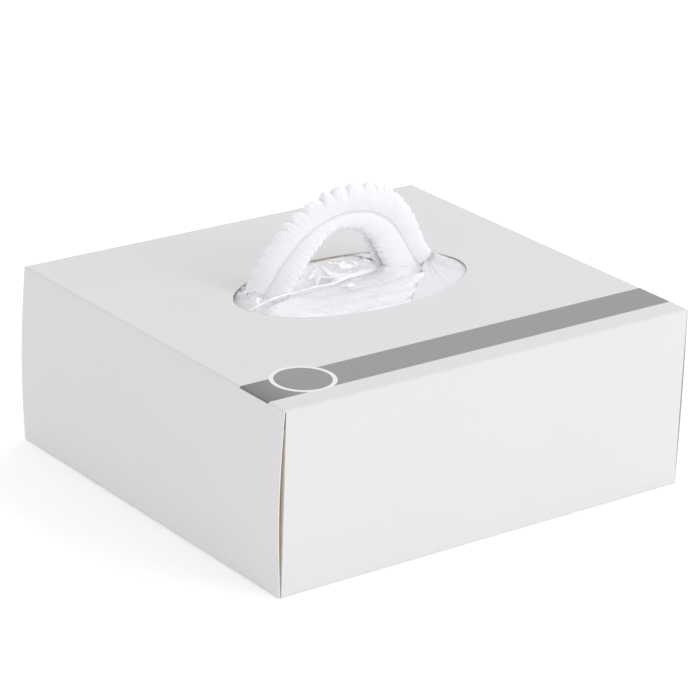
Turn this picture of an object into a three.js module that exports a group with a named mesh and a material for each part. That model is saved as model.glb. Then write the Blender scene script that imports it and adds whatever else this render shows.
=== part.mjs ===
// A disposable scrub cap, folded and gathered into a strip, drawn up as an arch through the oval
// opening of its dispenser carton. Millimetres, +Z up, origin at the middle of the carton's bottom.
import * as THREE from 'three';

// Carton, outside sizes along X (long), Y and Z
const cartonLength = 261;
const cartonDepth = 238;
const cartonHeight = 100;
const board = 0.6;
const foldGap = 0.3;
const openingHalfLength = 72;
const openingHalfDepth = 40;
const openingCentre = { x: 3, y: 6 };
const flapBulge = 3.4;
const flapEdgeBulge = 1.6;
const flapLift = 1.2;
const dustFlapReach = 82;
const innerFlapHeight = 90;

// Cap strip: one sheet folded in pleats, gathered along its length by the elastic
const sheetWall = 1.2;
const gatherPitch = 8;
const gatherDepth = 0.7;
const elasticWidth = 3.4;
const elasticThickness = 0.8;
const elasticDepth = 1.3;
const mitreLimit = 0.7;

// Half of the sheet's section from the cap's mouth, at the seam, to the middle of the underside.
// across is a part of the lobe's half width, out runs away from the underside in millimetres, and
// gather is how much of the gathers' depth shows there.
const sheetFolds = [
  { name: 'mouth rim', across: 0.07, out: 0.0, gather: 0.0 },
  { name: 'lobe shoulder', across: 0.28, out: 3.0, gather: 0.5 },
  { name: 'lobe crown', across: 0.68, out: 4.0, gather: 1.0 },
  { name: 'upper pleat edge', across: 1.0, out: 0.8, gather: 1.0 },
  { name: 'upper pleat return', across: 0.93, out: -2.0, gather: 0.8 },
  { name: 'inner fold top', across: 0.3, out: -2.0, gather: 0.0 },
  { name: 'inner fold bottom', across: 0.3, out: -4.2, gather: 0.0 },
  { name: 'lower pleat edge', across: 0.94, out: -4.4, gather: 0.8 },
  { name: 'lower pleat return', across: 0.88, out: -7.0, gather: 1.0 },
];
const undersideMiddle = { name: 'underside', across: 0, out: -7.6, gather: 0.4 };

// The seam's route from the left tail to the right tail. roll turns the strip's face towards -Y, and
// far and near are the half widths of its two lobes there, on the +Y and -Y sides.
const seamRoute = [
  { x: -104, y: 13, z: 88.5, roll: 0, far: 13, near: 13 },
  { x: -90, y: 13, z: 88.5, roll: 0, far: 13, near: 13 },
  { x: -75, y: 13, z: 88.5, roll: 1, far: 13, near: 13 },
  { x: -62, y: 13, z: 89.5, roll: 4, far: 13, near: 12 },
  { x: -51, y: 14, z: 98, roll: 16, far: 13, near: 11 },
  { x: -37, y: 14, z: 116, roll: 32, far: 12.5, near: 10 },
  { x: -22, y: 14, z: 130, roll: 40, far: 13, near: 9.5 },
  { x: -4, y: 14, z: 137.5, roll: 48, far: 13.5, near: 9.5 },
  { x: 15, y: 13, z: 136.5, roll: 56, far: 14, near: 11 },
  { x: 31, y: 13, z: 128, roll: 64, far: 13.5, near: 13 },
  { x: 42, y: 13, z: 114.5, roll: 66, far: 13, near: 14 },
  { x: 49.5, y: 13, z: 102, roll: 54, far: 13, near: 14 },
  { x: 60, y: 13, z: 91, roll: 20, far: 13, near: 13 },
  { x: 71, y: 13, z: 88.5, roll: 2, far: 13, near: 13 },
  { x: 88, y: 13, z: 88.5, roll: 0, far: 13, near: 13 },
  { x: 104, y: 13, z: 88.5, roll: 0, far: 13, near: 13 },
];

// Packed fill, with a trough for the strip, and the clear film over it
const fillTop = 94.6;
const fillPillow = 5;
const fillClearance = 0.1;
const seatGap = 0.4;
const troughHalfWidth = 17;
const troughStep = 0.6;
const feet = { left: { from: -71, to: -30 }, right: { from: 20, to: 69 } };
const heightWindow = { x: 5, y: 4.5 };
const outlineStep = 2;
const filmThickness = 0.5;
const filmGap = 0.3;
const filmReach = { x: 96, y: 66 };
const filmSlit = 0.8;

const sheetColour = 0xf4f6fa;
const elasticColour = 0xe4e7ec;
const filmColour = 0xf2f4f6;
const boardColour = 0xeeeeee;
const innerBoardColour = 0xa59f98;

const matt = (color) => new THREE.MeshStandardMaterial({ color, roughness: 0.9, metalness: 0 });
const glossy = (color) => new THREE.MeshStandardMaterial({ color, roughness: 0.15, metalness: 0 });

function solidMesh(name, geometry, material) {
  const mesh = new THREE.Mesh(geometry, material);
  mesh.name = name;
  return mesh;
}

// A closed body from rings of points: each ring joins the next, and flat ends close it
function loftRings(rings, endFaces) {
  const count = rings[0].length;
  const positions = [];
  for (const p of rings.flat()) positions.push(p.x, p.y, p.z);
  const index = [];
  for (let i = 0; i + 1 < rings.length; i += 1) {
    for (let j = 0; j < count; j += 1) {
      const k = (j + 1) % count;
      const a = i * count + j;
      const b = i * count + k;
      index.push(a, b, a + count, b, b + count, a + count);
    }
  }
  const last = (rings.length - 1) * count;
  for (const [a, b, c] of endFaces) {
    index.push(c, b, a);
    index.push(last + a, last + b, last + c);
  }
  const geometry = new THREE.BufferGeometry();
  geometry.setAttribute('position', new THREE.Float32BufferAttribute(positions, 3));
  geometry.setIndex(index);
  return geometry;
}

// A slab on a grid of a and b, between the skins low(a, b) and high(a, b), with the cells that keep
// accepts. place turns (a, b, c) into a point, and c rises from the low skin to the high one.
function gridSlab({ as, bs, low, high, place, keep = () => true }) {
  const columns = as.length;
  const rows = bs.length;
  const positions = [];
  for (const skin of [low, high]) {
    for (const b of bs) {
      for (const a of as) {
        const p = place(a, b, skin(a, b));
        positions.push(p.x, p.y, p.z);
      }
    }
  }
  const inside = (i, j) => i >= 0 && j >= 0 && i < columns - 1 && j < rows - 1
    && keep((as[i] + as[i + 1]) / 2, (bs[j] + bs[j + 1]) / 2);
  const at = (i, j, skin) => skin * columns * rows + j * columns + i;
  const index = [];
  const wall = (i0, j0, i1, j1) => {
    index.push(at(i0, j0, 0), at(i1, j1, 0), at(i1, j1, 1));
    index.push(at(i0, j0, 0), at(i1, j1, 1), at(i0, j0, 1));
  };
  for (let j = 0; j < rows - 1; j += 1) {
    for (let i = 0; i < columns - 1; i += 1) {
      if (!inside(i, j)) continue;
      index.push(at(i, j, 1), at(i + 1, j, 1), at(i + 1, j + 1, 1));
      index.push(at(i, j, 1), at(i + 1, j + 1, 1), at(i, j + 1, 1));
      index.push(at(i, j, 0), at(i + 1, j + 1, 0), at(i + 1, j, 0));
      index.push(at(i, j, 0), at(i, j + 1, 0), at(i + 1, j + 1, 0));
      if (!inside(i, j - 1)) wall(i, j, i + 1, j);
      if (!inside(i + 1, j)) wall(i + 1, j, i + 1, j + 1);
      if (!inside(i, j + 1)) wall(i + 1, j + 1, i, j + 1);
      if (!inside(i - 1, j)) wall(i, j + 1, i, j);
    }
  }
  const geometry = new THREE.BufferGeometry();
  geometry.setAttribute('position', new THREE.Float32BufferAttribute(positions, 3));
  geometry.setIndex(index);
  return geometry;
}

const upright = (a, b, c) => new THREE.Vector3(a, b, c);

function spread(from, to, steps) {
  return Array.from({ length: steps + 1 }, (_, i) => from + ((to - from) * i) / steps);
}

// The strip's stations: a point on the seam and the directions across and out of the strip's face
const seamCurve = new THREE.CatmullRomCurve3(
  seamRoute.map((row) => new THREE.Vector3(row.x, row.y, row.z)), false, 'centripetal');
const shapeCurve = new THREE.CatmullRomCurve3(
  seamRoute.map((row) => new THREE.Vector3(row.roll, row.far, row.near)), false, 'catmullrom');
const stripLength = seamCurve.getLength();
const stationCount = 2 * Math.round(stripLength / gatherPitch) + 1;

function station(fraction) {
  const t = seamCurve.getUtoTmapping(fraction);
  const centre = seamCurve.getPoint(t);
  const along = seamCurve.getTangent(t);
  const shape = shapeCurve.getPoint(t);
  const roll = THREE.MathUtils.degToRad(shape.x);
  const level = new THREE.Vector3(0, 1, 0);
  const outward = along.clone().cross(level).normalize();
  const side = outward.clone().cross(along).normalize();
  const across = side.clone().multiplyScalar(Math.cos(roll)).addScaledVector(outward, Math.sin(roll));
  const out = outward.clone().multiplyScalar(Math.cos(roll)).addScaledVector(side, -Math.sin(roll));
  return { centre, across, out, far: shape.y, near: shape.z };
}

const stations = spread(0, 1, stationCount - 1).map(station);

const onStation = ({ centre, across, out }, u, v) => centre.clone().addScaledVector(across, u)
  .addScaledVector(out, v);

// The sheet's whole section as an open line, near rim to far rim by way of the underside. crest is 1
// on a gather's crest and -1 in its valley.
function sheetLine({ far, near }, crest) {
  const half = (width, side) => [...sheetFolds, undersideMiddle].map(({ across, out, gather }) => {
    const x = across * width;
    const grow = 1 + (crest * gatherDepth * gather) / Math.max(Math.hypot(x, out), 1);
    return new THREE.Vector2(side * x * grow, out * grow);
  });
  return [...half(far, 1), ...half(near, -1).slice(0, -1).reverse()];
}

// The outline of a wall of the given thickness along an open line
function wallOutline(line, wall) {
  const normals = line.map((p, i) => {
    const before = line[Math.max(i - 1, 0)];
    const after = line[Math.min(i + 1, line.length - 1)];
    const first = p.clone().sub(before).normalize();
    const second = after.clone().sub(p).normalize();
    const middle = first.clone().add(second).normalize();
    const lean = i === 0 || i === line.length - 1 ? 1 : Math.max(first.dot(middle), mitreLimit);
    return new THREE.Vector2(-middle.y, middle.x).divideScalar(lean);
  });
  const one = line.map((p, i) => p.clone().addScaledVector(normals[i], wall / 2));
  const other = line.map((p, i) => p.clone().addScaledVector(normals[i], -wall / 2));
  return [...one, ...other.reverse()];
}

function counterClockwise(outline) {
  return THREE.ShapeUtils.isClockWise(outline) ? outline.slice().reverse() : outline;
}

function capCrown() {
  const outlines = stations.map((place, i) => counterClockwise(
    wallOutline(sheetLine(place, i % 2 ? 1 : -1), sheetWall)));
  const rings = stations.map((place, i) => outlines[i].map((p) => onStation(place, p.x, p.y)));
  return loftRings(rings, THREE.ShapeUtils.triangulateShape(outlines[0], []));
}

function capElastic() {
  const half = elasticWidth / 2;
  const top = -elasticDepth + elasticThickness / 2;
  const bottom = -elasticDepth - elasticThickness / 2;
  const outline = [[-half, bottom], [half, bottom], [half, top], [-half, top]];
  const rings = stations.map((place) => outline.map(([u, v]) => onStation(place, u, v)));
  return loftRings(rings, [[0, 1, 2], [0, 2, 3]]);
}

// Points all round the strip on its crests, which give the heights of its underside and top
const stripPoints = stations.flatMap((place) => {
  const outline = wallOutline(sheetLine(place, 1), sheetWall);
  return outline.flatMap((p, i) => {
    const next = outline[(i + 1) % outline.length];
    const steps = Math.ceil(p.distanceTo(next) / outlineStep);
    return spread(0, 1, steps).slice(0, -1).map((part) => {
      const { x, y } = p.clone().lerp(next, part);
      return onStation(place, x, y);
    });
  });
});

// The strip's lowest and highest point near x, and near y too where it is given
function stripHeights(x, y = null) {
  const near = stripPoints.filter((p) => Math.abs(p.x - x) < heightWindow.x
    && (y === null || Math.abs(p.y - y) < heightWindow.y)).map((p) => p.z);
  return near.length ? { low: Math.min(...near), high: Math.max(...near) } : null;
}

const seamY = seamRoute[0].y;
const troughFront = seamY - troughHalfWidth;
const troughBack = seamY + troughHalfWidth;
const overStrip = (y) => y > troughFront - troughStep / 2 && y < troughBack + troughStep / 2;

function fillHeight(x, y) {
  const halfX = cartonLength / 2;
  const halfY = cartonDepth / 2;
  const open = fillTop - fillPillow * (Math.abs(x / halfX) ** 8 + Math.abs(y / halfY) ** 8);
  const strip = overStrip(y) ? stripHeights(x, y) : null;
  return strip ? Math.min(open, strip.low - seatGap) : open;
}

function filmHeight(x, y) {
  const strip = overStrip(y) && (x <= feet.left.from || x >= feet.right.to) ? stripHeights(x) : null;
  const under = strip ? Math.max(fillTop, strip.high) : fillTop;
  return under + filmGap;
}

function packedFill() {
  const halfX = cartonLength / 2 - 3 * (board + foldGap) - fillClearance;
  const halfY = cartonDepth / 2 - board - foldGap - fillClearance;
  const step = heightWindow.x - 1;
  const leftEnd = seamRoute[0].x;
  const rightEnd = seamRoute[seamRoute.length - 1].x;
  const xs = [
    ...spread(-halfX, leftEnd - step, 2),
    ...spread(leftEnd, feet.left.from - step, 3),
    ...spread(feet.left.from, feet.left.to, 9),
    ...spread(feet.left.to + step, feet.right.from - step, 3),
    ...spread(feet.right.from, feet.right.to, 10),
    ...spread(feet.right.to + step, rightEnd, 3),
    ...spread(rightEnd + step, halfX, 2),
  ];
  const ys = [
    ...spread(-halfY, troughFront - troughStep, 4),
    ...spread(troughFront, troughBack, 8),
    ...spread(troughBack + troughStep, halfY, 3),
  ];
  return gridSlab({ as: xs, bs: ys, low: () => board + foldGap, high: fillHeight, place: upright });
}

// The film lies over the fill and the tails, with a hole at each foot and a slit from foot to foot
function innerBagFilm() {
  const xs = [
    ...spread(-filmReach.x, feet.left.from, 4),
    ...spread(feet.left.to, feet.right.from, 4),
    ...spread(feet.right.to, filmReach.x, 4),
  ];
  const slitY = troughFront;
  const ys = [
    ...spread(-filmReach.y, slitY, 4),
    ...spread(slitY + filmSlit, troughBack, 2),
    ...spread(troughBack + troughStep, filmReach.y, 2),
  ];
  const atFoot = (x) => Object.values(feet).some(({ from, to }) => x > from && x < to);
  const onSlit = (y) => y > slitY && y < slitY + filmSlit;
  const betweenFeet = (x) => x > feet.left.from && x < feet.right.to;
  const keep = (x, y) => !(overStrip(y) && atFoot(x)) && !(onSlit(y) && betweenFeet(x));
  const high = (x, y) => filmHeight(x, y) + filmThickness;
  return gridSlab({ as: xs, bs: ys, low: filmHeight, high, place: upright, keep });
}

function topPanel() {
  const halfX = cartonLength / 2;
  const halfY = cartonDepth / 2;
  const outline = new THREE.Shape([[-halfX, -halfY], [halfX, -halfY], [halfX, halfY], [-halfX, halfY]]
    .map(([x, y]) => new THREE.Vector2(x, y)));
  const opening = new THREE.Path();
  opening.absellipse(openingCentre.x, openingCentre.y, openingHalfLength, openingHalfDepth, 0, Math.PI * 2);
  outline.holes.push(opening);
  return new THREE.ExtrudeGeometry(outline, { depth: board, bevelEnabled: false, curveSegments: 48 });
}

// An outer end flap, level with the fold at its top and bulging between its edges. side is 1 or -1.
function endFlap(side) {
  const halfY = cartonDepth / 2 - foldGap;
  const foot = flapLift;
  const head = cartonHeight - board - foldGap;
  const bulge = (a, b) => Math.sin(Math.PI * (b - foot) / (head - foot))
    * (flapEdgeBulge + (flapBulge - flapEdgeBulge) * (1 - (a / halfY) ** 2));
  const inner = cartonLength / 2 - board;
  return gridSlab({
    as: spread(-halfY, halfY, 10),
    bs: spread(foot, head, 6),
    low: (a, b) => inner + bulge(a, b),
    high: (a, b) => inner + bulge(a, b) + board,
    place: (a, b, c) => new THREE.Vector3(side * c, side * a, b),
  });
}

// A flat piece of board between two opposite corners
function plate(name, from, to, material) {
  const size = ['x', 'y', 'z'].map((key) => Math.abs(to[key] - from[key]));
  const mesh = solidMesh(name, new THREE.BoxGeometry(...size), material);
  mesh.position.addVectors(from, to).multiplyScalar(0.5);
  return mesh;
}

function carton() {
  const group = new THREE.Group();
  const halfX = cartonLength / 2;
  const halfY = cartonDepth / 2;
  const layer = board + foldGap;
  const boardLook = matt(boardColour);
  const innerLook = matt(innerBoardColour);
  const v = (x, y, z) => new THREE.Vector3(x, y, z);

  const top = solidMesh('carton_top_panel', topPanel(), boardLook);
  top.position.z = cartonHeight - board;
  group.add(top);

  const wallX = halfX - 2 * layer;
  const wallTop = cartonHeight - layer;
  for (const [wall, sign] of [['front', -1], ['back', 1]]) {
    const from = v(-wallX, sign * halfY, 0);
    const to = v(wallX, sign * (halfY - board), wallTop);
    group.add(plate(`carton_${wall}_panel`, from, to, boardLook));
  }
  const floorX = halfX - layer;
  const floorY = halfY - layer;
  group.add(plate('carton_bottom_panel', v(-floorX, -floorY, 0), v(floorX, floorY, board), boardLook));

  for (const [end, side] of [['left', -1], ['right', 1]]) {
    group.add(solidMesh(`end_flap_${end}`, endFlap(side), boardLook));
    const innerFrom = v(side * floorX, -floorY, layer);
    const innerTo = v(side * (floorX - board), floorY, innerFlapHeight);
    group.add(plate(`inner_flap_${end}`, innerFrom, innerTo, innerLook));
    for (const [wall, sign] of [['front', -1], ['back', 1]]) {
      const dustFrom = v(side * wallX, sign * floorY, layer);
      const dustTo = v(side * (wallX - board), sign * (floorY - dustFlapReach), wallTop - foldGap);
      group.add(plate(`dust_flap_${wall}_${end}`, dustFrom, dustTo, innerLook));
    }
  }
  return group;
}

const cap = new THREE.Group();
cap.add(solidMesh('cap_crown', capCrown(), matt(sheetColour)));
cap.add(solidMesh('cap_elastic', capElastic(), matt(elasticColour)));

const contents = new THREE.Group();
contents.add(solidMesh('inner_bag_film', innerBagFilm(), glossy(filmColour)));
contents.add(solidMesh('packed_fill', packedFill(), matt(sheetColour)));

const model = new THREE.Group();
model.add(cap, contents, carton());

export default model;
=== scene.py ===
# The looks of a disposable scrub cap, gathered into a strip and drawn up as an arch through the
# oval opening of its dispenser carton. Lengths are in millimetres until a mesh is made.
import math

import bpy
import numpy as np
from mathutils import Matrix, Vector
from mathutils.geometry import delaunay_2d_cdt


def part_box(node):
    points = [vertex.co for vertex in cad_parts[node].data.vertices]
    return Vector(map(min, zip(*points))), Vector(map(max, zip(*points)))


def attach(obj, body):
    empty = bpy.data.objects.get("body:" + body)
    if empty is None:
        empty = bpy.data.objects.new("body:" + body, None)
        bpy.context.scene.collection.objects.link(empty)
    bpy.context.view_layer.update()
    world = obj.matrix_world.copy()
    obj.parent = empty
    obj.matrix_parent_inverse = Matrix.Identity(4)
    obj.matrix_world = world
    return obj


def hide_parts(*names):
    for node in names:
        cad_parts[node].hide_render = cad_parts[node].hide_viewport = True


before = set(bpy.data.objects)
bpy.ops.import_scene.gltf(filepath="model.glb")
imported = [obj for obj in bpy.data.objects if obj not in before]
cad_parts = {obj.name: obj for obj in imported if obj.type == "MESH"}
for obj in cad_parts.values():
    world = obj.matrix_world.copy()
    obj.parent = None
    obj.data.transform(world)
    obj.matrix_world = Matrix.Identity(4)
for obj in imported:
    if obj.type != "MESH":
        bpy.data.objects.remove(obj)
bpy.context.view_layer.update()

MM = 0.001

# Carton, as the frame gives it
top_low, top_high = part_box("carton_top_panel")
CARTON_X = top_high.x / MM
CARTON_Y = top_high.y / MM
CARTON_Z = top_high.z / MM
BOARD = (top_high.z - top_low.z) / MM
OPENING_CENTRE = (3.0, 6.0)
OPENING_HALF = (72.0, 40.0)
FOLD_RADIUS = 1.3

# Cap strip: the seam's route, the same as the frame's, with the strip's roll and lobe half widths
SEAM_ROUTE = [
    # x, y, z, roll in degrees, far half width, near half width
    (-104, 13, 88.5, 0, 13, 13),
    (-90, 13, 88.5, 0, 13, 13),
    (-75, 13, 88.5, 1, 13, 13),
    (-58.5, 13, 89.5, 8, 12.5, 12),
    (-48, 14, 98, 28, 12, 11),
    (-36, 14, 115, 42, 12.0, 10.5),
    (-22, 14, 129.0, 62, 12.2, 9.2),
    (-4, 14, 136.6, 82, 13.4, 8.2),
    (15, 13, 136.4, 90, 14.3, 10.7),
    (30.3, 13, 128.4, 88, 13.6, 14.1),
    (40.7, 13, 115.0, 85, 12.2, 16.5),
    (48.4, 13, 102.5, 82, 11.9, 16.6),
    (58, 13, 92, 58, 12, 15),
    (71, 13, 88.5, 5, 13, 13),
    (88, 13, 88.5, 0, 13, 13),
    (104, 13, 88.5, 0, 13, 13),
]
SEAM_Y = 13.0


def smooth_step(x):
    x = np.clip(x, 0, 1)
    return x * x * (3 - 2 * x)


def noise(u, v, seed):
    """Values from -1 to 1 that change smoothly over about one unit of u and of v."""
    size = 256
    lattice = np.random.default_rng(seed).uniform(-1, 1, (size, size))
    u, v = np.broadcast_arrays(np.asarray(u, float), np.asarray(v, float))
    iu, iv = np.floor(u).astype(int), np.floor(v).astype(int)
    fu, fv = smooth_step(u - iu), smooth_step(v - iv)

    def at(a, b):
        return lattice[a % size, b % size]

    low = at(iu, iv) * (1 - fu) + at(iu + 1, iv) * fu
    high = at(iu, iv + 1) * (1 - fu) + at(iu + 1, iv + 1) * fu
    return low * (1 - fv) + high * fv


def smooth_curve(rows, gaps, at):
    """Points of a smooth curve through rows. at counts in rows, and gaps are the knots' spacings."""
    rows = np.asarray(rows, float)
    padded = np.vstack([2 * rows[0] - rows[1], rows, 2 * rows[-1] - rows[-2]])
    gaps = np.concatenate([[gaps[0]], gaps, [gaps[-1]]])
    i = np.clip(np.floor(at).astype(int), 0, len(rows) - 2)
    w = (at - i)[:, None]
    x0, x1, x2, x3 = padded[i], padded[i + 1], padded[i + 2], padded[i + 3]
    d0, d1, d2 = gaps[i][:, None], gaps[i + 1][:, None], gaps[i + 2][:, None]
    start = d1 * ((x1 - x0) / d0 - (x2 - x0) / (d0 + d1) + (x2 - x1) / d1)
    end = d1 * ((x2 - x1) / d1 - (x3 - x1) / (d1 + d2) + (x3 - x2) / d2)
    square = 3 * (x2 - x1) - 2 * start - end
    cube = 2 * (x1 - x2) + start + end
    return x1 + start * w + square * w**2 + cube * w**3


def random_phase(along, pitch, seed):
    """A phase that grows by one over each gather. Each gather's length is random about pitch,
    which is one number or one for each row of the pair (place, pitch)."""
    rng = np.random.default_rng(seed)
    knots = [float(np.min(along)) - 20]
    while knots[-1] < float(np.max(along)) + 20:
        here = pitch if np.isscalar(pitch) else np.interp(knots[-1], pitch[0], pitch[1])
        knots.append(knots[-1] + here * rng.uniform(0.7, 1.3))
    return np.array(knots)


def crest(along, knots, seed, skew=1.0, spread=0.35, roundness=1.0):
    """Rounded crests with sharp valleys between the knots, from 0 to about 1. skew under 1 makes
    each crest steep at its start, spread is how much their heights differ, and roundness under 1
    makes them full."""
    phase = np.interp(along, knots, np.arange(len(knots)))
    index = np.floor(phase).astype(int)
    part = phase - index
    heights = np.random.default_rng(seed).uniform(1 - spread, 1 + spread * 0.3, len(knots) + 1)
    return np.sin(math.pi * part**skew) ** roundness * heights[index]


def new_piece(name, points, faces, materials, face_materials=None, smooth=True):
    """A mesh object from points in millimetres."""
    mesh = bpy.data.meshes.new(name)
    mesh.from_pydata((np.asarray(points) * MM).tolist(), [], faces)
    for material in materials:
        mesh.materials.append(material)
    if face_materials is not None:
        mesh.polygons.foreach_set("material_index", np.asarray(face_materials, np.int32))
    mesh.polygons.foreach_set("use_smooth", np.full(len(mesh.polygons), smooth))
    mesh.validate()
    mesh.update()
    piece = bpy.data.objects.new(name, mesh)
    bpy.context.scene.collection.objects.link(piece)
    return piece


def add_values(piece, name, values):
    attribute = piece.data.attributes.new(name, "FLOAT", "POINT")
    attribute.data.foreach_set("value", np.asarray(values, np.float32).ravel())


def ring_faces(count, across, closed=True):
    """Quads between count rings of across points each."""
    steps = across if closed else across - 1
    i, j = np.meshgrid(np.arange(count - 1), np.arange(steps), indexing="ij")
    a = i * across + j
    b = i * across + (j + 1) % across
    return np.stack([a, b, b + across, a + across], -1).reshape(-1, 4)


# The seam's line, station by station


class Strip:
    """Points and directions along the cap's seam at the places that along gives."""

    def __init__(self, along):
        rows = np.array(SEAM_ROUTE, float)
        places, shapes = rows[:, :3], rows[:, 3:]
        gaps = np.sqrt(np.linalg.norm(np.diff(places, axis=0), axis=1))
        at = np.linspace(0, len(rows) - 1, 12000)
        line = smooth_curve(places, gaps, at)
        shape = smooth_curve(shapes, np.ones(len(rows) - 1), at)
        length = np.concatenate([[0], np.cumsum(np.linalg.norm(np.diff(line, axis=0), axis=1))])
        tangent = np.gradient(line, length, axis=0)
        tangent /= np.linalg.norm(tangent, axis=1)[:, None]

        def pick(values):
            return np.stack([np.interp(along, length, v) for v in np.atleast_2d(values.T)], -1)

        self.length = length[-1]
        self.along = along
        self.centre = pick(line)
        self.tangent = pick(tangent)
        roll, self.far, self.near = pick(shape).T
        roll = np.radians(roll)[:, None]
        outward = np.cross(self.tangent, (0, 1, 0))
        outward /= np.linalg.norm(outward, axis=1)[:, None]
        side = np.cross(outward, self.tangent)
        self.across = side * np.cos(roll) + outward * np.sin(roll)
        self.out = outward * np.cos(roll) - side * np.sin(roll)

    def place(self, u, v, ahead=None):
        """Points at u across and v out of each station, with u and v a row for each station."""
        points = self.centre[:, None] + self.across[:, None] * u[..., None]
        points = points + self.out[:, None] * v[..., None]
        if ahead is not None:
            points = points + self.tangent[:, None] * ahead[..., None]
        return points


STRIP_LENGTH = Strip(np.zeros(1)).length
SHOWN_FROM = 34.0
SHOWN_TO = 212.0
FINE_STEP = 0.27
HIDDEN_STEP = 0.9


def stations():
    before = np.arange(0, SHOWN_FROM, HIDDEN_STEP)
    shown = np.arange(SHOWN_FROM, SHOWN_TO, FINE_STEP)
    after = np.linspace(SHOWN_TO, STRIP_LENGTH, 1 + round((STRIP_LENGTH - SHOWN_TO) / HIDDEN_STEP))
    return np.concatenate([before, shown, after])


# Cap: one sheet, folded in two pleats on each side of the seam and gathered along it

SHEET_FOLDS = [
    # across as a part of the lobe's half width, out, share of the gathers' depth
    (0.02, 2.7, 0.10),  # mouth rim
    (0.10, 2.95, 0.4),
    (0.26, 3.55, 0.8),  # lobe shoulder
    (0.60, 4.0, 1.0),  # lobe crown
    (0.91, 2.8, 1.0),
    (1.0, 0.4, 1.0),  # upper pleat edge
    (0.90, -1.9, 0.8),  # upper pleat return
    (0.48, -2.2, 0.0),  # inner fold top
    (0.48, -3.5, 0.0),  # inner fold bottom
    (0.92, -3.4, 0.6),
    (1.07, -4.3, 1.0),  # lower pleat edge
    (0.96, -6.2, 0.9),  # lower pleat return
    (0.45, -7.5, 0.5),
]
UNDERSIDE = (0.0, -7.6, 0.4)
UPPER_FOLDS = 8
SHEET_WALL = 0.6
OUTER_POINTS = 86
INNER_POINTS = 30

FAR_EDGE = [
    # x, gather pitch, edge depth, skew
    (-104, 7.0, 0.8, 0.9),
    (-60, 7.0, 0.9, 0.9),
    (-34, 6.0, 1.3, 0.8),
    (-24, 6.6, 3.2, 0.66),
    (12, 6.8, 3.2, 0.66),
    (19, 3.4, 1.8, 0.8),
    (28, 3.4, 1.4, 0.8),
    (36, 6.8, 1.1, 0.9),
    (104, 7.0, 0.9, 0.9),
]
NEAR_PITCH = 3.9
# How deep the gathers of the near edge are, at places along X
NEAR_DEPTH = [(-60, 0.35), (-30, 0.45), (-12, 0.9), (60, 0.75)]
# How much of the relief each part of the strip keeps
RELIEF_SHARE = [(-60, 0.55), (-34, 0.6), (-14, 1.0), (60, 1.0)]
# How wide the lower pleats are, as parts of the width, on the near and on the far side
LOWER_SHARE = [(-60, 0.82, 0.75), (20, 0.82, 0.72), (36, 1.0, 1.0), (60, 1.05, 1.02)]
BUNDLE_RELIEF = 0.36
MIDDLE_PITCH = 2.5
MIDDLE_RELIEF = 0.22
FINE_PITCH = 1.05
FINE_RELIEF = 0.2
PLEAT_LEAN = 0.3
PLEAT_SHEAR = [(-60, 0.0), (-24, 0.03), (-4, 0.16), (20, 0.26), (60, 0.2)]


def section_table():
    """Rows (side, across, out, gather, level) of the sheet's section from near rim to far rim."""
    half = [(a, o, g, 1.0 if i < UPPER_FOLDS else -1.0) for i, (a, o, g) in enumerate(SHEET_FOLDS)]
    near = [(-a, o, g, level) for a, o, g, level in half]
    middle = [(*UNDERSIDE, -1.0)]
    return np.array(near + middle + half[::-1])


def section_at(count):
    """The section table at count places, evenly spaced along the sheet's line."""
    table = section_table()
    width = 13.0
    knots = np.linspace(0, len(table) - 1, 4000)
    gaps = np.sqrt(np.maximum(np.linalg.norm(np.diff(table[:, :2] * (width, 1), axis=0), axis=1), 0.5))
    smooth = smooth_curve(table, gaps, knots)
    length = np.concatenate(
        [[0], np.cumsum(np.linalg.norm(np.diff(smooth[:, :2] * (width, 1), axis=0), axis=1))]
    )
    at = np.linspace(0, length[-1], count)
    picked = np.stack([np.interp(at, length, column) for column in smooth.T], -1)
    return picked, at


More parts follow.
